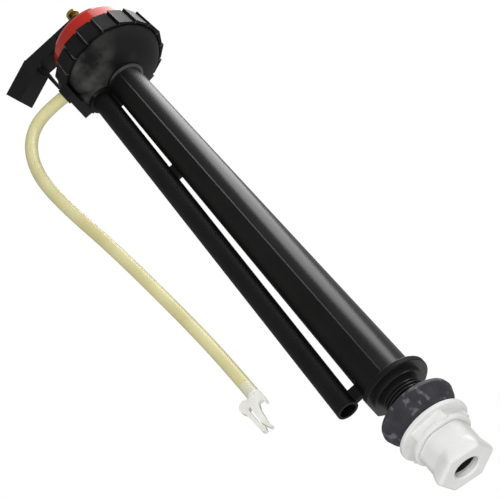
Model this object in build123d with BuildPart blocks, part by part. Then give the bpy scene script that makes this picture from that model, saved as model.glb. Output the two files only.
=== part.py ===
"""Float-lever toilet fill valve, in millimetres, modelled upright.

The origin is on the riser's axis at the underside of the mounting flange. +Z runs up
the riser, and -X is the side of the lever, the hush tube and the refill tube.
"""

import os
from math import cos, pi, radians, sin, tan

from build123d import *

os.makedirs("parts", exist_ok=True)

# Threaded shank and mounting flange
THREAD_CREST = 11.9
THREAD_ROOT = 10.9
THREAD_PITCH = 25.4 / 14
SHANK_END = -50.5
SHANK_BORE = 7.5
SHANK_MOUTH = 9.4
SHANK_MOUTH_DEPTH = 4.0
FLANGE_RADIUS = 18.9
FLANGE_THICKNESS = 3.5
FLANGE_FLAT = 16.3
NECK_RADIUS = 14.5
NECK_LENGTH = 3.0

# Riser: a round taper, with a slightly fuller half shell on the -X side
RISER_BOTTOM_RADIUS = 13.65
RISER_TOP_RADIUS = 9.3
RISER_TOP = 257.0
SHELL_BOTTOM_RADIUS = 15.3
SHELL_TOP_RADIUS = 10.1
SHELL_EDGE = 0.65
RISER_BORE_BOTTOM = 11.0
RISER_BORE_TOP = 7.8
COLLAR_RADIUS = 11.3

# Bowl at the top of the riser, and the thread that the ring nut runs on
BOWL_RIM = 278.0
BOWL_RADIUS = 27.4
BOWL_INNER = 24.8
BOWL_FLOOR = 265.0
BOWL_THREAD_CREST = 28.9
BOWL_THREAD_PITCH = 3.0
POST_RADIUS = 9.3
POST_TOP = 275.5
SEAT_BORE = 6.0

# Hush tube beside the riser, and the webs that join the two
HUSH_RADIUS = 6.0
HUSH_BORE = 4.5
HUSH_LOW = Vector(-25.55, 0, 8.6)
HUSH_HIGH = Vector(-16.9, 0, 262.0)
HUSH_BOSS_RADIUS = 8.2
HUSH_BOSS_LOW = 257.0
WEB_THICKNESS = 3.6
WEBS = ((9.3, 16.6), (183.9, 192.3), (247.5, 261.0))

# Refill outlet block under the bowl's edge
BLOCK_FACE = -30.9
BLOCK_LOW = 260.5
BLOCK_TOP = 269.5
NIPPLE_Y = -13.5
NIPPLE_Z = 267.0
NIPPLE_SEAT = 3.0
NIPPLE_SEAT_DEPTH = 4.0
COLLAR_THICKNESS = 1.0
WAY_RADIUS = 1.5
WAY_X = -28.6
WAY_Y = -3.0
WAY_Z = 266.2
TUBE_RADIUS = 3.6
TUBE_BORE = 2.3

# Ring nut with saw-edged pads
NUT_LOW = 270.2
NUT_TOP = 283.0
NUT_BORE = 29.25
NUT_LIP_BORE = 27.6
NUT_LIP_THICKNESS = 1.6
NUT_PADS = 18
PAD_HIGH = 32.2
PAD_LOW = 31.1
GROOVE_RADIUS = 30.5
NUT_TAPER = 0.965
PAD_TURN = 4.5

# Diaphragm, seat, plunger and bonnet
DIAPHRAGM_RADIUS = 28.2
DIAPHRAGM_THICKNESS = 1.4
FOLD_RISE = 1.6
DISC_RADIUS = 8.0
BONNET_FLANGE_TOP = 281.2
BONNET_BASE_RADIUS = 27.3
BONNET_TOP_RADIUS = 23.0
BONNET_TOP = 297.4
PLUNGER_RADIUS = 4.0
GUIDE_BORE = 4.06

# Lever, its bracket and pin
PIVOT_X = -13.0
PIVOT_Z = 307.6
PIN_RADIUS = 1.5
PIN_HOLE = 1.56
LEVER_HALF_WIDTH = 6.5
FORK_HALF_GAP = 3.0
POST_HALF_WIDTH = 2.7
POST_CROWN = 3.8
LEG_OUTER = -32.2
LEG_INNER = -29.9
LEG_LOW = 287.5
LEG_WIDTH = 7.0
LEVER_TOP = 312.0
LEVER_SLOPE = 0.03
LEVER_UNDERSIDE = 303.6
LEVER_END = 5.6
LEVER_EDGE = 0.5
SOCKET_LENGTH = 20.5
SOCKET_DROP = 16.5
SOCKET_YAW = 12.0
SOCKET_START = Vector(-34.2, 0, 306.7)
INSERT_RADIUS = 4.0
INSERT_LENGTH = 13.0
ROD_HOLE = 2.6
SCREW_X = 1.8
SCREW_RADIUS = 2.05
SCREW_TIP = 303.6
SCREW_HEAD_LOW = 318.2
SCREW_HEAD_RADIUS = 3.6

# Loose fittings on the shank
WASHER_RADIUS = 20.9
WASHER_FOOT = 16.2
WASHER_RECESS = 15.0
WASHER_RECESS_DEPTH = 3.3
WASHER_TOP = -15.0
WASHER_SHOULDER = -17.6
WASHER_LOW = -29.1
LOCK_NUT_TOP = -29.4
LOCK_NUT_LOW = -38.7
COUPLING_TOP = -39.0
COUPLING_LOW = -57.7
COUPLING_HOLE = 7.0
FITTING_BORE = 12.2
HEX_TURN = -1.5
LOCK_FLANGE_RADIUS = 19.7
LOCK_HEX_CORNER = 17.9
LOCK_LIP_RADIUS = 16.6
COUPLING_TURN = 15.8
COUPLING_CORNER = 16.7
COUPLING_BODY = 15.9
COUPLING_SHOULDER = (-54.2, -49.5)
COUPLING_ROUNDING = (2.8, 8.0)
RING_LOW = -54.6
RING_THICKNESS = 1.0

# Screws that hold the bracket to the bonnet
SCREW_PILOT = 1.3
SCREW_CLEAR = 1.6


def write_step(part, name):
    """Labels a finished piece and writes it as a STEP file of the same name."""
    part.label = name
    export_step(part, f"parts/{name}.step")


def thread_rings(root, crest, bottom, pitch, count):
    """(radius, height) points up a stack of thread ridges, each ring trapezoidal."""
    points = []
    for turn in range(count):
        z = bottom + turn * pitch
        points += [(root, z), (crest, z + 0.3 * pitch)]
        points += [(crest, z + 0.5 * pitch), (root, z + 0.8 * pitch)]
    return points


def direction(drop, yaw):
    """Unit vector that points to -X, tipped down by drop and turned to +Y by yaw, in degrees."""
    d, y = radians(drop), radians(yaw)
    return Vector(-cos(d) * cos(y), cos(d) * sin(y), -sin(d))


# ---------------------------------------------------------------- valve body
# One moulding: threaded shank, flange, tapered riser, bowl, hush tube and refill block.
shank_rings = thread_rings(
    THREAD_ROOT, THREAD_CREST, SHANK_END + 0.6, THREAD_PITCH, 25
)
bowl_rings = thread_rings(
    BOWL_RADIUS, BOWL_THREAD_CREST, 272.2, BOWL_THREAD_PITCH, 2
)
hush_axis = Plane(origin=HUSH_LOW, x_dir=(0, 1, 0), z_dir=HUSH_HIGH - HUSH_LOW)
hush_length = (HUSH_HIGH - HUSH_LOW).length

with BuildPart() as half_shell:
    with BuildSketch(Plane.XY.offset(FLANGE_THICKNESS)):
        Circle(SHELL_BOTTOM_RADIUS)
    with BuildSketch(Plane.XY.offset(RISER_TOP + 0.6)):
        Circle(SHELL_TOP_RADIUS)
    loft()
    split(bisect_by=Plane.YZ, keep=Keep.BOTTOM)
    long_edges = half_shell.edges().filter_by(GeomType.LINE).sort_by(SortBy.LENGTH)[-2:]
    chamfer(long_edges, SHELL_EDGE)

with BuildPart() as valve_body:
    with BuildSketch(Plane.XZ):
        with BuildLine():
            lower = Polyline(
                (0, SHANK_END),
                (THREAD_ROOT, SHANK_END),
                *shank_rings,
                (THREAD_ROOT, -NECK_LENGTH),
                (NECK_RADIUS, -NECK_LENGTH),
                (NECK_RADIUS, 0),
                (FLANGE_RADIUS - 0.4, 0),
                (FLANGE_RADIUS, 0.4),
                (FLANGE_RADIUS, FLANGE_THICKNESS - 0.8),
                (FLANGE_RADIUS - 0.8, FLANGE_THICKNESS),
                (RISER_BOTTOM_RADIUS, FLANGE_THICKNESS),
                (RISER_TOP_RADIUS, RISER_TOP),
                (COLLAR_RADIUS, RISER_TOP + 1),
                (COLLAR_RADIUS, RISER_TOP + 2.4),
            )
            dome = ThreePointArc(lower @ 1, (20.9, 262.0), (BOWL_THREAD_CREST - 0.3, 269.6))
            Polyline(
                dome @ 1,
                (BOWL_THREAD_CREST, 270.2),
                (BOWL_THREAD_CREST, 271.0),
                (BOWL_RADIUS, 271.4),
                *bowl_rings,
                (BOWL_RADIUS, BOWL_RIM),
                (0, BOWL_RIM),
                (0, SHANK_END),
            )
        make_face()
    revolve(axis=Axis.Z)
    add(half_shell.part)
    # hush tube, the boss around its head and the webs
    with BuildSketch(hush_axis):
        Circle(HUSH_RADIUS)
    extrude(amount=hush_length)
    with BuildSketch(hush_axis.offset(HUSH_BOSS_LOW - HUSH_LOW.Z)):
        Circle(HUSH_BOSS_RADIUS)
    extrude(amount=9)
    for low, high in WEBS:
        share = (low - HUSH_LOW.Z) / (HUSH_HIGH.Z - HUSH_LOW.Z)
        hush_x = HUSH_LOW.X + share * (HUSH_HIGH.X - HUSH_LOW.X)
        with Locations((hush_x, 0, low)):
            Box(
                -hush_x - 8, WEB_THICKNESS, high - low,
                align=(Align.MIN, Align.CENTER, Align.MIN),
            )
    # refill outlet block, tied to the bowl by a rib
    with Locations((BLOCK_FACE, -19, BLOCK_LOW)):
        Box(4.6, 24, BLOCK_TOP - BLOCK_LOW, align=(Align.MIN,) * 3)
    with Locations((BLOCK_FACE, -8, BLOCK_LOW)):
        Box(14, 13, BLOCK_TOP - BLOCK_LOW - 1, align=(Align.MIN,) * 3)
    with Locations((-24.6, 1, BLOCK_LOW - 1.6)):
        Box(2, 3, 3, align=(Align.MIN,) * 3)
    # flat on the flange, towards the hush tube
    with Locations((-FLANGE_FLAT, 0, -0.5)):
        Box(
            10, 60, FLANGE_THICKNESS + 1,
            align=(Align.MAX, Align.CENTER, Align.MIN), mode=Mode.SUBTRACT,
        )
    # water way: shank bore, riser bore and seat bore, then the bowl around the post
    with BuildSketch(Plane.XZ):
        with BuildLine():
            Polyline(
                (0, SHANK_END - 1),
                (SHANK_MOUTH, SHANK_END - 1),
                (SHANK_MOUTH, SHANK_END),
                (SHANK_BORE, SHANK_END + SHANK_MOUTH_DEPTH),
                (SHANK_BORE, 2),
                (RISER_BORE_BOTTOM, 9),
                (RISER_BORE_TOP, 250),
                (SEAT_BORE, 254),
                (SEAT_BORE, POST_TOP),
                (POST_RADIUS, POST_TOP),
                (POST_RADIUS, BOWL_FLOOR),
                (21, BOWL_FLOOR),
                (BOWL_INNER, 269.5),
                (BOWL_INNER, BOWL_RIM + 1),
                (0, BOWL_RIM + 1),
                (0, SHANK_END - 1),
            )
        make_face()
    revolve(axis=Axis.Z, mode=Mode.SUBTRACT)
    with BuildSketch(hush_axis.offset(-1)):
        Circle(HUSH_BORE)
    extrude(amount=BOWL_FLOOR - HUSH_LOW.Z + 2, mode=Mode.SUBTRACT)
    # nipple seat and the drilled way from it into the bowl
    with BuildSketch(Plane((BLOCK_FACE, NIPPLE_Y, NIPPLE_Z), z_dir=(1, 0, 0))):
        Circle(NIPPLE_SEAT)
    extrude(amount=NIPPLE_SEAT_DEPTH, mode=Mode.SUBTRACT)
    with BuildSketch(Plane((WAY_X, NIPPLE_Y, WAY_Z), x_dir=(1, 0, 0), z_dir=(0, 1, 0))):
        Circle(WAY_RADIUS)
    extrude(amount=WAY_Y - NIPPLE_Y + WAY_RADIUS, mode=Mode.SUBTRACT)
    with BuildSketch(Plane((WAY_X, WAY_Y, WAY_Z), z_dir=(1, 0, 0))):
        Circle(WAY_RADIUS)
    extrude(amount=12, mode=Mode.SUBTRACT)
write_step(valve_body.part, "valve_body")

# ---------------------------------------------------------------- inlet strainer
with BuildPart() as inlet_strainer:
    with BuildSketch(Plane.XZ):
        with BuildLine():
            Polyline(
                (0, -28),
                (0, -29.2),
                (4.6, -29.2),
                (5.6, -43),
                (5.6, -45),
                (SHANK_BORE, -45),
                (SHANK_BORE, -43.4),
                (6.6, -43.4),
                (5.6, -28),
                (0, -28),
            )
        make_face()
    revolve(axis=Axis.Z)
    for height in (-40.5, -37.2, -33.9):
        for turn in range(3):
            across = (cos(radians(60 * turn)), sin(radians(60 * turn)), 0)
            with BuildSketch(Plane((0, 0, height), z_dir=across)):
                RectangleRounded(2.4, 2.2, 0.5)
            extrude(amount=9, both=True, mode=Mode.SUBTRACT)
write_step(inlet_strainer.part, "inlet_strainer")

# ---------------------------------------------------------------- valve seat and its seal
with BuildPart() as valve_seat:
    with BuildSketch(Plane.XZ):
        with BuildLine():
            Polyline(
                (3.0, 262),
                (SEAT_BORE, 262),
                (SEAT_BORE, 266),
                (SEAT_BORE - 1.1, 266),
                (SEAT_BORE - 1.1, 268),
                (SEAT_BORE, 268),
                (SEAT_BORE, POST_TOP),
                (7.6, POST_TOP),
                (7.6, 276.5),
                (4.9, 276.5),
                (4.4, 278),
                (3.6, 278),
                (3.0, 277),
                (3.0, 262),
            )
        make_face()
    revolve(axis=Axis.Z)
write_step(valve_seat.part, "valve_seat")

with BuildPart() as seat_o_ring:
    with BuildSketch(Plane.XZ):
        with Locations((SEAT_BORE - 0.55, 267)):
            Ellipse(0.54, 0.9)
    revolve(axis=Axis.Z)
write_step(seat_o_ring.part, "seat_o_ring")

# ---------------------------------------------------------------- diaphragm and its centre disc
# Closed, the sheet lies flat on the seat's lip, with one raised fold between post and wall.
sheet_top = BOWL_RIM + DIAPHRAGM_THICKNESS
with BuildPart() as diaphragm:
    with BuildSketch(Plane.XZ):
        with BuildLine():
            Polyline(
                (0, BOWL_RIM),
                (14.0, BOWL_RIM),
                (16.0, BOWL_RIM + FOLD_RISE),
                (19.8, BOWL_RIM + FOLD_RISE),
                (21.8, BOWL_RIM),
                (DIAPHRAGM_RADIUS, BOWL_RIM),
                (DIAPHRAGM_RADIUS, sheet_top),
                (22.3, sheet_top),
                (20.3, sheet_top + FOLD_RISE),
                (15.5, sheet_top + FOLD_RISE),
                (13.5, sheet_top),
                (0, sheet_top),
                (0, BOWL_RIM),
            )
        make_face()
    revolve(axis=Axis.Z)
write_step(diaphragm.part, "diaphragm")

disc_low = sheet_top + 0.05
disc_top = disc_low + 1.4
with BuildPart() as diaphragm_disc:
    with BuildSketch(Plane.XY.offset(disc_low)):
        Circle(DISC_RADIUS)
    extrude(amount=disc_top - disc_low)
    chamfer(diaphragm_disc.edges().group_by(Axis.Z)[-1], 0.4)
write_step(diaphragm_disc.part, "diaphragm_disc")

# ---------------------------------------------------------------- plunger
plunger_low = disc_top + 0.3
plunger_top = SCREW_TIP - 0.3
with BuildPart() as plunger:
    with BuildSketch(Plane.XY.offset(plunger_low)):
        Circle(6.2)
    extrude(amount=1.6)
    with BuildSketch(Plane.XY.offset(plunger_low)):
        Circle(PLUNGER_RADIUS)
    extrude(amount=plunger_top - plunger_low)
    chamfer(plunger.edges().group_by(Axis.Z)[-1], 0.5)
write_step(plunger.part, "plunger")

# ---------------------------------------------------------------- bonnet
# Red cap: clamped flange, tapered crown and the plunger's guide.
with BuildPart() as bonnet:
    with BuildSketch(Plane.XZ):
        with BuildLine():
            Polyline(
                (GUIDE_BORE, 289.5),
                (6.6, 289.5),
                (6.6, 294.4),
                (21.4, 294.4),
                (24.4, 286),
                (25.0, BOWL_RIM + DIAPHRAGM_THICKNESS),
                (28.4, BOWL_RIM + DIAPHRAGM_THICKNESS),
                (28.4, BONNET_FLANGE_TOP),
                (BONNET_BASE_RADIUS, BONNET_FLANGE_TOP),
                (BONNET_BASE_RADIUS, NUT_TOP + 0.6),
                (26.9, 286.0),
                (24.6, 294.6),
                (BONNET_TOP_RADIUS, BONNET_TOP),
                (6.6, BONNET_TOP),
                (5.8, 300.4),
                (GUIDE_BORE, 300.4),
                (GUIDE_BORE, 289.5),
            )
        make_face()
    revolve(axis=Axis.Z)
    with Locations((0, 15, BONNET_TOP), (0, -15, BONNET_TOP)):
        Hole(SCREW_PILOT, 3.0 + 0.1)
write_step(bonnet.part, "bonnet")

# ---------------------------------------------------------------- lever bracket
# Foot on the bonnet, and a post that stands in the lever's fork and holds the pin.
foot_top = BONNET_TOP + 2.2
with BuildPart() as lever_bracket:
    with BuildSketch(Plane.XY.offset(BONNET_TOP)):
        Circle(18.5)
        with Locations((PIVOT_X, 0)):
            Rectangle(13, 9)
        Circle(7.7, mode=Mode.SUBTRACT)
    extrude(amount=foot_top - BONNET_TOP)
    with BuildSketch(Plane.XZ):
        with BuildLine():
            Polyline(
                (PIVOT_X - 4.8, BONNET_TOP),
                (PIVOT_X + 4.8, BONNET_TOP),
                (PIVOT_X + POST_CROWN, PIVOT_Z),
                (PIVOT_X - POST_CROWN, PIVOT_Z),
                (PIVOT_X - 4.8, BONNET_TOP),
            )
        make_face()
        with Locations((PIVOT_X, PIVOT_Z)):
            Circle(POST_CROWN)
            Circle(PIN_RADIUS, mode=Mode.SUBTRACT)
    extrude(amount=POST_HALF_WIDTH, both=True)
    with Locations((0, 15, foot_top), (0, -15, foot_top)):
        CounterBoreHole(SCREW_CLEAR, 2.9, 0.8)
write_step(lever_bracket.part, "lever_bracket")

with BuildPart() as bracket_screws:
    for side in (-1, 1):
        with BuildSketch(Plane((0, 15 * side, BONNET_TOP - 3.0))):
            Circle(SCREW_PILOT)
        extrude(amount=foot_top - BONNET_TOP + 3.0 - 0.8)
        with BuildSketch(Plane((0, 15 * side, foot_top - 0.8))):
            Circle(2.8)
        extrude(amount=1.9)
        with BuildSketch(Plane((0, 15 * side, foot_top + 1.1))):
            Rectangle(3.2, 0.7)
            Rectangle(0.7, 3.2)
        extrude(amount=-1.0, mode=Mode.SUBTRACT)
write_step(bracket_screws.part, "bracket_screws")

# ---------------------------------------------------------------- lever, pin, screw and insert
socket_dir = direction(SOCKET_DROP, SOCKET_YAW)
socket_side = Vector(0, 0, 1).cross(socket_dir).normalized()
socket_plane = Plane(origin=SOCKET_START, x_dir=socket_side, z_dir=socket_dir)
socket_mouth = SOCKET_START + socket_dir * SOCKET_LENGTH

lever_high = LEVER_TOP + LEVER_SLOPE * 35.4
with BuildPart() as lever:
    with BuildSketch(Plane.XZ):
        with BuildLine():
            Polyline(
                (LEVER_END, 305.2),
                (LEVER_END, lever_high),
                (-35.4, LEVER_TOP),
                (-33.6, 300.9),
                (LEG_OUTER, LEVER_UNDERSIDE - 1.6),
                (LEG_OUTER, 296.0),
                (-31.9, LEG_LOW),
                (-30.1, LEG_LOW),
                (LEG_INNER, 294.0),
                (LEG_INNER, LEVER_UNDERSIDE),
                (-10.0, LEVER_UNDERSIDE),
                (-8.0, 305.2),
                (LEVER_END, 305.2),
            )
        make_face()
    extrude(amount=LEVER_HALF_WIDTH, both=True)
    top_edges = lever.edges().filter_by(GeomType.LINE).group_by(SortBy.LENGTH)[-1]
    chamfer(top_edges, LEVER_EDGE)
    # plan view: the leg is narrower than the bar, and the bar's inner end is rounded
    with BuildSketch(Plane.XY.offset(LEG_LOW - 1)):
        with Locations((-31, 0)):
            Rectangle(6, 2 * LEVER_HALF_WIDTH + 1)
            Rectangle(6, LEG_WIDTH, mode=Mode.SUBTRACT)
    extrude(amount=300.6 - LEG_LOW + 1, mode=Mode.SUBTRACT)
    inner_corners = lever.edges().filter_by(Axis.Z).group_by(Axis.X)[-1]
    fillet(inner_corners, 5.0)
    with BuildSketch(socket_plane.offset(-1.5)):
        RectangleRounded(2 * LEVER_HALF_WIDTH, 11.4, 0.8)
    extrude(amount=SOCKET_LENGTH + 1.5)
    # fork for the bracket's post, and the pin's hole through it
    with BuildSketch(Plane.XY.offset(300)):
        with Locations((PIVOT_X, 0)):
            SlotOverall(12.6 + 2 * FORK_HALF_GAP, 2 * FORK_HALF_GAP)
    extrude(amount=20, mode=Mode.SUBTRACT)
    with BuildSketch(Plane.XZ):
        with Locations((PIVOT_X, PIVOT_Z)):
            Circle(PIN_HOLE)
    extrude(amount=20, both=True, mode=Mode.SUBTRACT)
    with BuildSketch(Plane.XY.offset(300)):
        with Locations((SCREW_X, 0)):
            Circle(SCREW_RADIUS + 0.04)
    extrude(amount=20, mode=Mode.SUBTRACT)
    with BuildSketch(socket_plane.offset(SOCKET_LENGTH)):
        Circle(INSERT_RADIUS)
    extrude(amount=-INSERT_LENGTH, mode=Mode.SUBTRACT)
write_step(lever.part, "lever")

with BuildPart() as rod_insert:
    with BuildSketch(socket_plane.offset(SOCKET_LENGTH)):
        Circle(INSERT_RADIUS)
    extrude(amount=-INSERT_LENGTH)
    with BuildSketch(socket_plane.offset(SOCKET_LENGTH)):
        Circle(ROD_HOLE)
    extrude(amount=1.5 - INSERT_LENGTH, mode=Mode.SUBTRACT)
write_step(rod_insert.part, "rod_insert")

with BuildPart() as lever_pin:
    with BuildSketch(Plane.XZ):
        with Locations((PIVOT_X, PIVOT_Z)):
            Circle(PIN_RADIUS)
    extrude(amount=LEVER_HALF_WIDTH - 0.5, both=True)
    chamfer(lever_pin.edges().filter_by(GeomType.CIRCLE), 0.3)
write_step(lever_pin.part, "lever_pin")

with BuildPart() as adjusting_screw:
    with BuildSketch(Plane.XZ):
        with BuildLine():
            Polyline(
                (0, SCREW_TIP),
                (1.2, SCREW_TIP),
                (SCREW_RADIUS, SCREW_TIP + 0.8),
                (SCREW_RADIUS, SCREW_HEAD_LOW),
                (SCREW_HEAD_RADIUS, SCREW_HEAD_LOW),
                (SCREW_HEAD_RADIUS, SCREW_HEAD_LOW + 2.2),
            )
            crown = ThreePointArc(
                (SCREW_HEAD_RADIUS, SCREW_HEAD_LOW + 2.2),
                (2.2, SCREW_HEAD_LOW + 3.1),
                (0, SCREW_HEAD_LOW + 3.4),
            )
            Line(crown @ 1, (0, SCREW_TIP))
        make_face()
    revolve(axis=Axis.Z)
    with Locations((0, 0, SCREW_HEAD_LOW + 1.9)):
        Box(
            9, 0.9, 3, align=(Align.CENTER, Align.CENTER, Align.MIN), mode=Mode.SUBTRACT,
        )
placed_screw = adjusting_screw.part.moved(Location((SCREW_X, 0, 0)))
write_step(placed_screw, "adjusting_screw")

# ---------------------------------------------------------------- ring nut


def pad_outline(scale):
    """Outline of the saw-edged pads: each starts high, falls slowly and drops into a groove."""
    step = 2 * pi / NUT_PADS
    points = []
    for pad in range(NUT_PADS):
        corners = [(PAD_HIGH, 0.0), (PAD_LOW, 0.84), (GROOVE_RADIUS, 0.87), (GROOVE_RADIUS, 0.97)]
        for radius, share in corners:
            angle = (pad + share) * step + radians(PAD_TURN)
            points.append((scale * radius * cos(angle), scale * radius * sin(angle)))
    return points


with BuildPart() as ring_nut:
    for height, scale in ((NUT_LOW, 1.0), (NUT_TOP, NUT_TAPER)):
        with BuildSketch(Plane.XY.offset(height)):
            Polygon(*pad_outline(scale), align=None)
    loft(ruled=True)
    with BuildSketch(Plane.XZ):
        with BuildLine():
            Polyline(
                (0, NUT_LOW),
                (NUT_BORE + 0.5, NUT_LOW),
                (NUT_BORE, NUT_LOW + 0.6),
                (NUT_BORE, NUT_TOP - NUT_LIP_THICKNESS),
                (NUT_LIP_BORE, NUT_TOP - NUT_LIP_THICKNESS),
                (NUT_LIP_BORE, NUT_TOP),
                (0, NUT_TOP),
                (0, NUT_LOW),
            )
        make_face()
    revolve(axis=Axis.Z, mode=Mode.SUBTRACT)
write_step(ring_nut.part, "ring_nut")

# ---------------------------------------------------------------- shank washer and nuts
with BuildPart() as shank_washer:
    with BuildSketch(Plane.XZ) as washer_section:
        with BuildLine():
            Polyline(
                (FITTING_BORE, WASHER_LOW),
                (WASHER_FOOT, WASHER_LOW),
                (WASHER_FOOT + 0.7, WASHER_SHOULDER - 7.6),
                (WASHER_RADIUS - 1.3, WASHER_SHOULDER - 3.6),
                (WASHER_RADIUS, WASHER_SHOULDER),
                (WASHER_RADIUS - 0.7, WASHER_TOP),
                (WASHER_RECESS, WASHER_TOP),
                (WASHER_RECESS, WASHER_TOP - WASHER_RECESS_DEPTH),
                (FITTING_BORE, WASHER_TOP - WASHER_RECESS_DEPTH),
                (FITTING_BORE, WASHER_LOW),
            )
        make_face()
        widest = washer_section.vertices().group_by(Axis.X)[-1]
        fillet(widest, 1.0)
        brim = washer_section.vertices().group_by(Axis.Y)[-1].sort_by(Axis.X)[-1]
        fillet(brim, 0.8)
    revolve(axis=Axis.Z)
write_step(shank_washer.part, "shank_washer")

with BuildPart() as lock_nut:
    with BuildSketch(Plane.XY.offset(LOCK_NUT_TOP)):
        Circle(LOCK_FLANGE_RADIUS)
    extrude(amount=-2.4)
    fillet(lock_nut.edges().filter_by(GeomType.CIRCLE), 0.6)
    with BuildSketch(Plane.XY.offset(LOCK_NUT_TOP - 1)) as lock_hex:
        RegularPolygon(LOCK_HEX_CORNER, 6, rotation=HEX_TURN)
        fillet(lock_hex.vertices(), 2.2)
    extrude(amount=LOCK_NUT_LOW + 1.5 - LOCK_NUT_TOP + 1)
    with BuildSketch(Plane.XY.offset(LOCK_NUT_LOW)):
        Circle(LOCK_LIP_RADIUS)
    extrude(amount=2.2)
    fillet(lock_nut.edges().group_by(Axis.Z)[0], 0.5)
    with BuildSketch(Plane.XY.offset(LOCK_NUT_TOP)):
        Circle(FITTING_BORE)
    extrude(amount=LOCK_NUT_LOW - LOCK_NUT_TOP, mode=Mode.SUBTRACT)
write_step(lock_nut.part, "lock_nut")


def soft_hex(corner, rounding):
    """Hexagon of the coupling nut with its corners rounded, drawn on the current plane."""
    with BuildSketch(mode=Mode.PRIVATE) as outline:
        RegularPolygon(corner, 6, rotation=COUPLING_TURN)
        fillet(outline.vertices(), rounding)
    add(outline.sketch)


with BuildPart() as coupling_nut:
    with BuildSketch(Plane.XY.offset(COUPLING_LOW)):
        soft_hex(COUPLING_CORNER, COUPLING_ROUNDING[0])
    extrude(amount=COUPLING_SHOULDER[0] - COUPLING_LOW)
    fillet(coupling_nut.edges().group_by(Axis.Z)[0], 2.0)
    with BuildSketch(Plane.XY.offset(COUPLING_SHOULDER[0])):
        soft_hex(COUPLING_CORNER, COUPLING_ROUNDING[0])
    with BuildSketch(Plane.XY.offset(COUPLING_SHOULDER[1])):
        soft_hex(COUPLING_BODY, COUPLING_ROUNDING[1])
    loft()
    with BuildSketch(Plane.XY.offset(COUPLING_SHOULDER[1])):
        soft_hex(COUPLING_BODY, COUPLING_ROUNDING[1])
    extrude(amount=COUPLING_TOP - COUPLING_SHOULDER[1])
    with BuildSketch(Plane.XZ):
        with BuildLine():
            Polyline(
                (0, COUPLING_LOW),
                (COUPLING_HOLE + 0.8, COUPLING_LOW),
                (COUPLING_HOLE, COUPLING_LOW + 0.8),
                (COUPLING_HOLE, RING_LOW),
                (FITTING_BORE, RING_LOW),
                (FITTING_BORE, COUPLING_TOP),
                (0, COUPLING_TOP),
                (0, COUPLING_LOW),
            )
        make_face()
    revolve(axis=Axis.Z, mode=Mode.SUBTRACT)
write_step(coupling_nut.part, "coupling_nut")

# ---------------------------------------------------------------- friction ring and cone washer
with BuildPart() as friction_ring:
    with BuildSketch(Plane.XY.offset(RING_LOW + 0.3)):
        Circle(11.6)
        Circle(7.5, mode=Mode.SUBTRACT)
    extrude(amount=RING_THICKNESS)
write_step(friction_ring.part, "friction_ring")

cone_low = RING_LOW + 0.3 + RING_THICKNESS
with BuildPart() as cone_washer:
    with BuildSketch(Plane.XZ):
        with BuildLine():
            Polyline(
                (6.45, cone_low),
                (11.4, cone_low),
                (11.4, SHANK_END - 0.3),
                (8.9, SHANK_END - 0.3),
                (7.1, SHANK_END + SHANK_MOUTH_DEPTH - 0.4),
                (6.45, SHANK_END + SHANK_MOUTH_DEPTH - 0.4),
                (6.45, cone_low),
            )
        make_face()
    revolve(axis=Axis.Z)
write_step(cone_washer.part, "cone_washer")

# ---------------------------------------------------------------- refill nipple
nipple_face = BLOCK_FACE - COLLAR_THICKNESS
nipple_plane = Plane((BLOCK_FACE, NIPPLE_Y, NIPPLE_Z), x_dir=(0, 1, 0), z_dir=(-1, 0, 0))
with BuildPart() as refill_nipple:
    with BuildSketch(nipple_plane):
        Circle(4.8)
    extrude(amount=COLLAR_THICKNESS)
    with BuildSketch(nipple_plane.offset(-NIPPLE_SEAT_DEPTH + 0.5)):
        Circle(NIPPLE_SEAT)
    extrude(amount=NIPPLE_SEAT_DEPTH - 0.5)
    with BuildSketch(nipple_plane.offset(COLLAR_THICKNESS)):
        Circle(TUBE_BORE)
    extrude(amount=7)
    with BuildSketch(nipple_plane.offset(-NIPPLE_SEAT_DEPTH + 0.5)):
        Circle(1.4)
    extrude(amount=NIPPLE_SEAT_DEPTH + 8, mode=Mode.SUBTRACT)
write_step(refill_nipple.part, "refill_nipple")

# ---------------------------------------------------------------- refill tube
# Route of the tube's centre line, from the nipple's collar to the clip.
REFILL_ROUTE = [
    (nipple_face, NIPPLE_Y, NIPPLE_Z),
    (-45.0, -14.4, 267.2),
    (-57.4, -16.6, 260.8),
    (-66.0, -18.5, 248.0),
    (-70.2, -19.6, 229.0),
    (-68.9, -20.2, 203.0),
    (-62.9, -20.0, 160.0),
    (-57.6, -19.0, 98.0),
    (-55.9, -18.3, 66.0),
    (-55.6, -18.0, 41.0),
]


def route_radii(route):
    """A radius for each inner corner: 0.45 of the shorter run over the tangent of half the turn."""
    radii = []
    for before, corner, after in zip(route, route[1:], route[2:]):
        first = Vector(*corner) - Vector(*before)
        second = Vector(*after) - Vector(*corner)
        half_turn = radians(first.get_angle(second)) / 2
        radii.append(0.45 * min(first.length, second.length) / tan(half_turn))
    return radii


radii = route_radii(REFILL_ROUTE)
with BuildPart() as refill_tube:
    with BuildLine():
        route_line = FilletPolyline(*REFILL_ROUTE, radius=radii)
    with BuildSketch(Plane(route_line @ 0, z_dir=route_line % 0)):
        Circle(TUBE_RADIUS)
        Circle(TUBE_BORE, mode=Mode.SUBTRACT)
    sweep()
write_step(refill_tube.part, "refill_tube")
tube_section = pi * (TUBE_RADIUS**2 - TUBE_BORE**2)
print("tube radii", [round(r, 1) for r in radii])
print("tube length", round(route_line.length, 1))
tube_ratio = refill_tube.part.volume / (tube_section * route_line.length)
print("tube volume over section times length", round(tube_ratio, 4))

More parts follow.
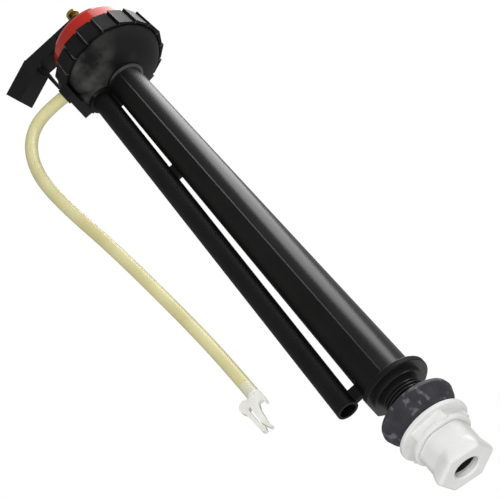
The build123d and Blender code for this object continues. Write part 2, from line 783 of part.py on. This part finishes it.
# ---------------------------------------------------------------- refill clip
# Barb into the tube's end, a collar, and a spring clip of two legs for the overflow pipe.
tube_end = Vector(*REFILL_ROUTE[-1])
tube_run = (tube_end - Vector(*REFILL_ROUTE[-2])).normalized()
clip_plane = Plane(origin=tube_end, z_dir=tube_run)
with BuildPart() as refill_clip:
    with BuildSketch(clip_plane.offset(-8)):
        Circle(TUBE_BORE)
    extrude(amount=8)
    with BuildSketch(clip_plane):
        Circle(TUBE_RADIUS)
    extrude(amount=1.2)
    with BuildSketch(Plane.XZ.offset(-tube_end.Y)):
        with BuildLine():
            Polyline(
                (-51.9, 40.5),
                (-51.8, 36.2),
                (-52.1, 32.4),
                (-53.3, 32.2),
                (-53.6, 34.8),
                (-56.0, 34.9),
                (-57.4, 31.6),
                (-58.2, 25.6),
                (-58.4, 22.4),
                (-57.8, 19.8),
                (-59.2, 19.4),
                (-60.5, 22.6),
                (-61.3, 25.6),
                (-61.0, 32.4),
                (-60.7, 36.0),
                (-62.1, 35.2),
                (-62.1, 26.0),
                (-61.6, 25.6),
                (-60.8, 22.4),
                (-61.6, 20.2),
                (-63.0, 20.0),
                (-63.8, 21.6),
                (-64.6, 34.0),
                (-65.9, 36.6),
                (-65.9, 38.6),
                (-64.4, 40.6),
                (-61.8, 41.4),
                (-59.9, 40.5),
                (-51.9, 40.5),
            )
        make_face()
    extrude(amount=1.8, both=True)
    with BuildSketch(clip_plane.offset(-8)):
        Circle(1.3)
    extrude(amount=14, mode=Mode.SUBTRACT)
write_step(refill_clip.part, "refill_clip")
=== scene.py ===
"""Looks of the toilet fill valve: its materials, the refill tube, the lights and the camera."""

from math import cos, pi, radians, sin

import bmesh
import bpy
from mathutils import Matrix, Vector


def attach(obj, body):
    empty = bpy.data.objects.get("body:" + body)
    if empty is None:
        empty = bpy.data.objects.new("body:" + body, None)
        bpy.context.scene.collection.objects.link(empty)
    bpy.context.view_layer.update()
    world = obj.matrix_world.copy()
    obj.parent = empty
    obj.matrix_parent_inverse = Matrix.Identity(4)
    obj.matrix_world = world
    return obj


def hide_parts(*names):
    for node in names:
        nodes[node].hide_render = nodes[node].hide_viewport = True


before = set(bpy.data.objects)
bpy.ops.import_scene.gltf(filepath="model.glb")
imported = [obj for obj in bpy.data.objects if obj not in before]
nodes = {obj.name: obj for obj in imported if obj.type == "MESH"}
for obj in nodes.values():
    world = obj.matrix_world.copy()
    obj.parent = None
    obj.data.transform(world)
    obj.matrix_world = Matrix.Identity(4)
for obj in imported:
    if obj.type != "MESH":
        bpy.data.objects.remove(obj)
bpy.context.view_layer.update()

# ---------------------------------------------------------------- camera
CAMERA_PLACE = Vector((0, -1.0, -0.5427))
CAMERA_PAN = radians(-0.55)
CAMERA_TILT = radians(33.5)
CAMERA_ROLL = radians(-41.03)
CAMERA_LENS = 165.6

forward = Vector(
    (sin(CAMERA_PAN) * cos(CAMERA_TILT), cos(CAMERA_PAN) * cos(CAMERA_TILT), sin(CAMERA_TILT))
)
level = forward.cross(Vector((0, 0, 1))).normalized()
upright = level.cross(forward)
view_right = level * cos(CAMERA_ROLL) + upright * sin(CAMERA_ROLL)
view_up = upright * cos(CAMERA_ROLL) - level * sin(CAMERA_ROLL)


def facing(place, right, up):
    """Matrix that puts an object at place with its x along right and its y along up."""
    turn = Matrix((right, up, right.cross(up))).transposed()
    return Matrix.Translation(place) @ turn.to_4x4()


lens = bpy.data.cameras.new("camera")
lens.lens = CAMERA_LENS
camera = bpy.data.objects.new("camera", lens)
bpy.context.scene.collection.objects.link(camera)
camera.matrix_world = facing(CAMERA_PLACE, view_right, view_up)
bpy.context.scene.camera = camera

# ---------------------------------------------------------------- materials


def surface(
    name, dark, light, rough=(0.4, 0.5), patch=60, grain=2500, grain_height=0.00002,
    **shader_values,
):
    """A material whose colour and gloss drift in patches, with a fine moulded grain.

    dark and light are the two ends of its colour, rough the two ends of its roughness.
    patch and grain are noise scales per metre, and grain_height is in metres.
    """
    material = bpy.data.materials.new(name)
    material.use_nodes = True
    tree = material.node_tree
    shader = tree.nodes["Principled BSDF"]
    place = tree.nodes.new("ShaderNodeTexCoord")
    drift = tree.nodes.new("ShaderNodeTexNoise")
    drift.inputs["Scale"].default_value = patch
    drift.inputs["Detail"].default_value = 4
    tint = tree.nodes.new("ShaderNodeValToRGB")
    tint.color_ramp.elements[0].position = 0.3
    tint.color_ramp.elements[1].position = 0.7
    tint.color_ramp.elements[0].color = (*dark, 1)
    tint.color_ramp.elements[1].color = (*light, 1)
    gloss = tree.nodes.new("ShaderNodeMapRange")
    gloss.inputs["To Min"].default_value = rough[0]
    gloss.inputs["To Max"].default_value = rough[1]
    fine = tree.nodes.new("ShaderNodeTexNoise")
    fine.inputs["Scale"].default_value = grain
    fine.inputs["Detail"].default_value = 2
    bump = tree.nodes.new("ShaderNodeBump")
    bump.inputs["Strength"].default_value = 0.5
    bump.inputs["Distance"].default_value = grain_height
    tree.links.new(place.outputs["Object"], drift.inputs["Vector"])
    tree.links.new(place.outputs["Object"], fine.inputs["Vector"])
    tree.links.new(drift.outputs["Fac"], tint.inputs["Fac"])
    tree.links.new(tint.outputs["Color"], shader.inputs["Base Color"])
    tree.links.new(drift.outputs["Fac"], gloss.inputs["Value"])
    tree.links.new(gloss.outputs["Result"], shader.inputs["Roughness"])
    tree.links.new(fine.outputs["Fac"], bump.inputs["Height"])
    tree.links.new(bump.outputs["Normal"], shader.inputs["Normal"])
    for socket, value in shader_values.items():
        shader.inputs[socket.replace("_", " ")].default_value = value
    return material


def product(material, first, second):
    """Socket that is the product of two others."""
    tree = material.node_tree
    times = tree.nodes.new("ShaderNodeMath")
    times.operation = "MULTIPLY"
    tree.links.new(first, times.inputs[0])
    tree.links.new(second, times.inputs[1])
    return times.outputs["Value"]


def zone(material, *spans):
    """Socket that is 1 where the piece's own coordinates lie in every (axis, low, high) span."""
    tree = material.node_tree
    place = tree.nodes.new("ShaderNodeTexCoord")
    parts = tree.nodes.new("ShaderNodeSeparateXYZ")
    tree.links.new(place.outputs["Object"], parts.inputs["Vector"])
    mask = None
    for axis, low, high in spans:
        inside = tree.nodes.new("ShaderNodeMath")
        inside.operation = "COMPARE"
        inside.inputs[1].default_value = (low + high) / 2
        inside.inputs[2].default_value = (high - low) / 2
        tree.links.new(parts.outputs[axis], inside.inputs[0])
        span = inside.outputs["Value"]
        mask = span if mask is None else product(material, mask, span)
    return mask


def ramp(material, axis, start, end):
    """Socket that goes from 0 at start to 1 at end along one of the piece's own axes."""
    tree = material.node_tree
    place = tree.nodes.new("ShaderNodeTexCoord")
    parts = tree.nodes.new("ShaderNodeSeparateXYZ")
    slope = tree.nodes.new("ShaderNodeMapRange")
    slope.inputs["From Min"].default_value = start
    slope.inputs["From Max"].default_value = end
    tree.links.new(place.outputs["Object"], parts.inputs["Vector"])
    tree.links.new(parts.outputs[axis], slope.inputs["Value"])
    return slope.outputs["Result"]


def specks(material, scale, threshold, softness):
    """Socket that rises from 0 to 1 in the patches where a noise pattern passes threshold."""
    tree = material.node_tree
    place = tree.nodes.new("ShaderNodeTexCoord")
    noise = tree.nodes.new("ShaderNodeTexNoise")
    noise.inputs["Scale"].default_value = scale
    noise.inputs["Detail"].default_value = 3
    edge = tree.nodes.new("ShaderNodeMapRange")
    edge.inputs["From Min"].default_value = threshold
    edge.inputs["From Max"].default_value = threshold + softness
    tree.links.new(place.outputs["Object"], noise.inputs["Vector"])
    tree.links.new(noise.outputs["Fac"], edge.inputs["Value"])
    return edge.outputs["Result"]


def pad_edges(material, pads, turn, share_of_pad=0.05):
    """Socket that is 1 on the leading share of each of the pads around Z, broken up in patches: a
    painted highlight along each pad's edge.

    turn is where the first pad starts, in degrees from +X.
    """
    tree = material.node_tree
    place = tree.nodes.new("ShaderNodeTexCoord")
    parts = tree.nodes.new("ShaderNodeSeparateXYZ")
    angle = tree.nodes.new("ShaderNodeMath")
    angle.operation = "ARCTAN2"
    count = tree.nodes.new("ShaderNodeMath")
    count.operation = "MULTIPLY_ADD"
    count.inputs[1].default_value = pads / (2 * pi)
    count.inputs[2].default_value = pads - pads * turn / 360
    share = tree.nodes.new("ShaderNodeMath")
    share.operation = "FRACT"
    edge = tree.nodes.new("ShaderNodeMath")
    edge.operation = "LESS_THAN"
    edge.inputs[1].default_value = share_of_pad
    tree.links.new(place.outputs["Object"], parts.inputs["Vector"])
    tree.links.new(parts.outputs["Y"], angle.inputs[0])
    tree.links.new(parts.outputs["X"], angle.inputs[1])
    tree.links.new(angle.outputs["Value"], count.inputs[0])
    tree.links.new(count.outputs["Value"], share.inputs[0])
    tree.links.new(share.outputs["Value"], edge.inputs[0])
    # Breaks the painted edge highlight up in patches.
    highlight_breaks = specks(material, 160, 0.35, 0.2)
    return product(material, edge.outputs["Value"], highlight_breaks)


def tinted_where(material, mask, colour, strength):
    """Mixes colour over the base colour, by up to strength, where mask is 1."""
    tree = material.node_tree
    base = tree.nodes["Principled BSDF"].inputs["Base Color"]
    share = tree.nodes.new("ShaderNodeMath")
    share.operation = "MULTIPLY"
    share.inputs[1].default_value = strength
    mix = tree.nodes.new("ShaderNodeMix")
    mix.data_type = "RGBA"
    mix.inputs["B"].default_value = (*colour, 1)
    tree.links.new(mask, share.inputs[0])
    tree.links.new(share.outputs["Value"], mix.inputs["Factor"])
    tree.links.new(base.links[0].from_socket, mix.inputs["A"])
    tree.links.new(mix.outputs["Result"], base)


def polished_where(material, mask, roughness, specular):
    """Sets the roughness and the strength of reflections where mask is 1."""
    tree = material.node_tree
    shader = tree.nodes["Principled BSDF"]
    for socket, value in (("Roughness", roughness), ("Specular IOR Level", specular)):
        target = shader.inputs[socket]
        mix = tree.nodes.new("ShaderNodeMix")
        mix.data_type = "FLOAT"
        mix.inputs["A"].default_value = target.default_value
        mix.inputs["B"].default_value = value
        tree.links.new(mask, mix.inputs["Factor"])
        if target.links:
            tree.links.new(target.links[0].from_socket, mix.inputs["A"])
        tree.links.new(mix.outputs["Result"], target)


# Where the valve body's finish changes, as spans of its own coordinates in metres.
SMOOTH_SIDE = ("X", 0.0, 0.03)
RISER_SPAN = ("Z", 0.0036, 0.257)
RISER_GLEAM_FADE = (0.36, 0.16)
COLLAR_SPAN = ("Z", 0.2572, 0.2593)
BOWL_WIDTH = ("X", -0.0245, 0.03)
BOWL_SPAN = ("Z", 0.2594, 0.2712)
# Bowl dust and painted sheen: none at the first X, full at the second.
BOWL_DUST_AND_SHEEN_FADE = (0.018, -0.012)
SHANK_SPAN = ("Z", -0.052, 0.0001)
TUBE_MOUTH_SPAN = ("Z", 0.030, 0.048)
RING_NUT_PADS = 18
FIRST_PAD_TURN = 4.5

black_body = surface(
    "black_moulding", (0.0025, 0.0025, 0.0027), (0.0055, 0.0055, 0.0058),
    rough=(0.46, 0.60), patch=45, grain=1400, grain_height=0.00003,
    Specular_IOR_Level=0.22,
)
riser_half = zone(black_body, SMOOTH_SIDE, RISER_SPAN)
riser_gleam = product(black_body, riser_half, ramp(black_body, "Z", *RISER_GLEAM_FADE))
polished_where(black_body, riser_gleam, roughness=0.27, specular=0.5)
collar = zone(black_body, COLLAR_SPAN)
polished_where(black_body, collar, roughness=0.25, specular=1.0)
bowl = zone(black_body, BOWL_WIDTH, BOWL_SPAN)
dusty = product(black_body, bowl, specks(black_body, scale=75, threshold=0.40, softness=0.3))
# Dust specks on the bowl, faded out towards +X: real dust, plus a painted sheen that makes the
# bowl's -X side lighter.
dust_and_painted_sheen = product(black_body, dusty, ramp(black_body, "X", *BOWL_DUST_AND_SHEEN_FADE))
tinted_where(black_body, dust_and_painted_sheen, (0.07, 0.07, 0.066), strength=0.9)
shank = zone(black_body, SHANK_SPAN)
polished_where(black_body, shank, roughness=0.34, specular=0.7)
black_lever = surface(
    "black_lever", (0.003, 0.003, 0.0035), (0.007, 0.007, 0.0075),
    rough=(0.42, 0.55), patch=80, grain=1800, grain_height=0.00004,
    Specular_IOR_Level=0.22,
)
black_nut = surface(
    "black_ring_nut", (0.004, 0.004, 0.004), (0.009, 0.009, 0.009),
    rough=(0.42, 0.55), patch=90, grain=1600, grain_height=0.00004,
    Specular_IOR_Level=0.12,
)
# Lighter stripes on the leading edge of each pad: painted highlights where the pad edges catch the
# light.
painted_edge_highlights = pad_edges(black_nut, RING_NUT_PADS, FIRST_PAD_TURN)
tinted_where(black_nut, painted_edge_highlights, (0.09, 0.09, 0.09), strength=0.8)
red_cap = surface(
    "red_cap", (0.36, 0.014, 0.007), (0.44, 0.020, 0.010),
    rough=(0.12, 0.2), patch=50, grain=900, grain_height=0.00002,
    Specular_IOR_Level=0.25, Specular_Tint=(1, 0.5, 0.45, 1),
)
brass = surface(
    "turned_brass", (0.32, 0.235, 0.055), (0.58, 0.44, 0.13),
    rough=(0.2, 0.34), patch=400, grain=4000, grain_height=0.00001, Metallic=1.0,
)
steel = surface(
    "plated_steel", (0.42, 0.42, 0.42), (0.62, 0.62, 0.61),
    rough=(0.22, 0.36), patch=500, grain=4000, grain_height=0.00001, Metallic=1.0,
)
washer_rubber = surface(
    "washer_rubber", (0.020, 0.020, 0.026), (0.040, 0.040, 0.048),
    rough=(0.50, 0.66), patch=130, grain=2200, grain_height=0.00006,
    Specular_IOR_Level=0.35,
)
chalky = specks(washer_rubber, scale=210, threshold=0.58, softness=0.1)
tinted_where(washer_rubber, chalky, (0.15, 0.15, 0.165), strength=0.7)
seal_rubber = surface(
    "seal_rubber", (0.010, 0.010, 0.010), (0.018, 0.018, 0.018),
    rough=(0.55, 0.7), patch=150, grain=2500, grain_height=0.00004,
    Specular_IOR_Level=0.35,
)
white_nut = surface(
    "white_nut", (0.70, 0.705, 0.69), (0.77, 0.775, 0.76),
    rough=(0.34, 0.46), patch=70, grain=1300, grain_height=0.00003,
    Specular_IOR_Level=0.4,
)
white_inner = surface(
    "white_inner", (0.62, 0.62, 0.60), (0.74, 0.74, 0.72),
    rough=(0.45, 0.6), patch=120, grain=2000, grain_height=0.00003,
)
milky_clip = surface(
    "milky_clip", (0.70, 0.70, 0.65), (0.79, 0.79, 0.75),
    rough=(0.28, 0.4), patch=180, grain=1800, grain_height=0.00003,
)
pale_tube = surface(
    "pale_tube", (0.59, 0.55, 0.27), (0.68, 0.64, 0.36),
    rough=(0.24, 0.36), patch=55, grain=900, grain_height=0.00003,
    Subsurface_Weight=0.15, Subsurface_Scale=0.002,
)
tube_mouth = zone(pale_tube, TUBE_MOUTH_SPAN)
tinted_where(pale_tube, tube_mouth, (0.66, 0.65, 0.56), strength=0.6)

FINISH = {
    "valve_body": black_body,
    "refill_nipple": black_body,
    "ring_nut": black_nut,
    "lever": black_lever,
    "lever_bracket": black_lever,
    "bonnet": red_cap,
    "adjusting_screw": brass,
    "rod_insert": brass,
    "valve_seat": brass,
    "bracket_screws": steel,
    "lever_pin": black_lever,
    "shank_washer": washer_rubber,
    "cone_washer": seal_rubber,
    "seat_o_ring": seal_rubber,
    "diaphragm": seal_rubber,
    "lock_nut": white_nut,
    "coupling_nut": white_nut,
    "friction_ring": white_inner,
    "inlet_strainer": white_inner,
    "diaphragm_disc": white_inner,
    "plunger": white_inner,
    "refill_clip": milky_clip,
}
for name, finish in FINISH.items():
    for place in nodes[name].material_slots:
        place.material = finish

# ---------------------------------------------------------------- refill tube
# The same points as the CAD tube's route, in metres, as the control points of one smooth curve.
TUBE_DIAMETER = 0.0072
REFILL_ROUTE = [
    (-0.0319, -0.0135, 0.2670),
    (-0.0450, -0.0144, 0.2672),
    (-0.0574, -0.0166, 0.2608),
    (-0.0660, -0.0185, 0.2480),
    (-0.0702, -0.0196, 0.2290),
    (-0.0689, -0.0202, 0.2030),
    (-0.0629, -0.0200, 0.1600),
    (-0.0576, -0.0190, 0.0980),
    (-0.0559, -0.0183, 0.0660),
    (-0.0556, -0.0180, 0.0410),
]
tube_curve = bpy.data.curves.new("refill_hose", "CURVE")
tube_curve.dimensions = "3D"
tube_curve.resolution_u = 16
tube_curve.bevel_depth = TUBE_DIAMETER / 2
tube_curve.bevel_resolution = 8
tube_curve.use_fill_caps = True
tube_line = tube_curve.splines.new("NURBS")
tube_line.points.add(len(REFILL_ROUTE) - 1)
for point, place in zip(tube_line.points, REFILL_ROUTE):
    point.co = (*place, 1)
tube_line.order_u = 3
tube_line.use_endpoint_u = True
tube_curve.materials.append(pale_tube)
refill_hose = bpy.data.objects.new("refill_hose", tube_curve)
bpy.context.scene.collection.objects.link(refill_hose)
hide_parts("refill_tube")
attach(refill_hose, "valve_body")

# ---------------------------------------------------------------- floor, light and backdrop
FLOOR_Z = -1.15
FLOOR_HALF_WIDTH = 30
FLOOR_GLOW = 0.25
floor_mesh = bpy.data.meshes.new("floor")
floor_shape = bmesh.new()
bmesh.ops.create_grid(floor_shape, x_segments=1, y_segments=1, size=FLOOR_HALF_WIDTH)
floor_shape.to_mesh(floor_mesh)
floor_shape.free()
floor = bpy.data.objects.new("floor", floor_mesh)
floor.location = (0, 0, FLOOR_Z)
bpy.context.scene.collection.objects.link(floor)
floor_mesh.materials.append(
    surface(
        "floor", (0.80, 0.80, 0.80), (0.84, 0.84, 0.84), rough=(0.7, 0.8), patch=1, grain=40,
        Emission_Color=(1, 1, 1, 1), Emission_Strength=FLOOR_GLOW,
    )
)

MIDDLE = Vector((0, 0, 0.13))


def soft_light(name, place, across, back, size, power):
    """An area light at an offset from the valve's middle, all in (right, up, depth) of the camera.

    across is the direction of its first size, and back points away from what it lights.
    size is in metres and power in watts.
    """
    axes = Matrix((view_right, view_up, forward)).transposed()
    side = (axes @ Vector(across)).normalized()
    away = (axes @ Vector(back)).normalized()
    panel = bpy.data.lights.new(name, "AREA")
    panel.shape = "RECTANGLE"
    panel.size = size[0]
    panel.size_y = size[1]
    panel.energy = power
    light = bpy.data.objects.new(name, panel)
    light.visible_camera = False
    bpy.context.scene.collection.objects.link(light)
    light.matrix_world = facing(MIDDLE + axes @ Vector(place), side, away.cross(side))
    return light


# A long overhead panel that runs into depth, one behind it for the cap's gleam, and a broad
# fill that never shows as a gleam itself.
RIGHT, UP, TOWARDS_CAMERA = (1, 0, 0), (0, 1, 0), (-0.08, -0.04, -1)
soft_light("overhead", (0.11, 0.45, 0.27), RIGHT, UP, size=(0.27, 0.84), power=2.9)
soft_light("rear", (-0.05, 0.45, 0.9), RIGHT, UP, size=(0.30, 1.4), power=4.5)
fill = soft_light("fill", (-0.1, -0.05, -1.3), RIGHT, TOWARDS_CAMERA, size=(1.0, 1.0), power=11)
fill.visible_glossy = False

# The backdrop is white to look at, and gives the valve only a dim, even light.
BACKDROP = 1.0
AMBIENT = 0.38
world = bpy.data.worlds.new("studio")
world.use_nodes = True
sky = world.node_tree
seen = sky.nodes.new("ShaderNodeLightPath")
level_of = sky.nodes.new("ShaderNodeMapRange")
level_of.inputs["To Min"].default_value = AMBIENT
level_of.inputs["To Max"].default_value = BACKDROP
sky.links.new(seen.outputs["Is Camera Ray"], level_of.inputs["Value"])
sky.links.new(level_of.outputs["Result"], sky.nodes["Background"].inputs["Strength"])
sky.nodes["Background"].inputs["Color"].default_value = (1, 1, 1, 1)
bpy.context.scene.world = world
bpy.context.scene.view_settings.view_transform = "Standard"
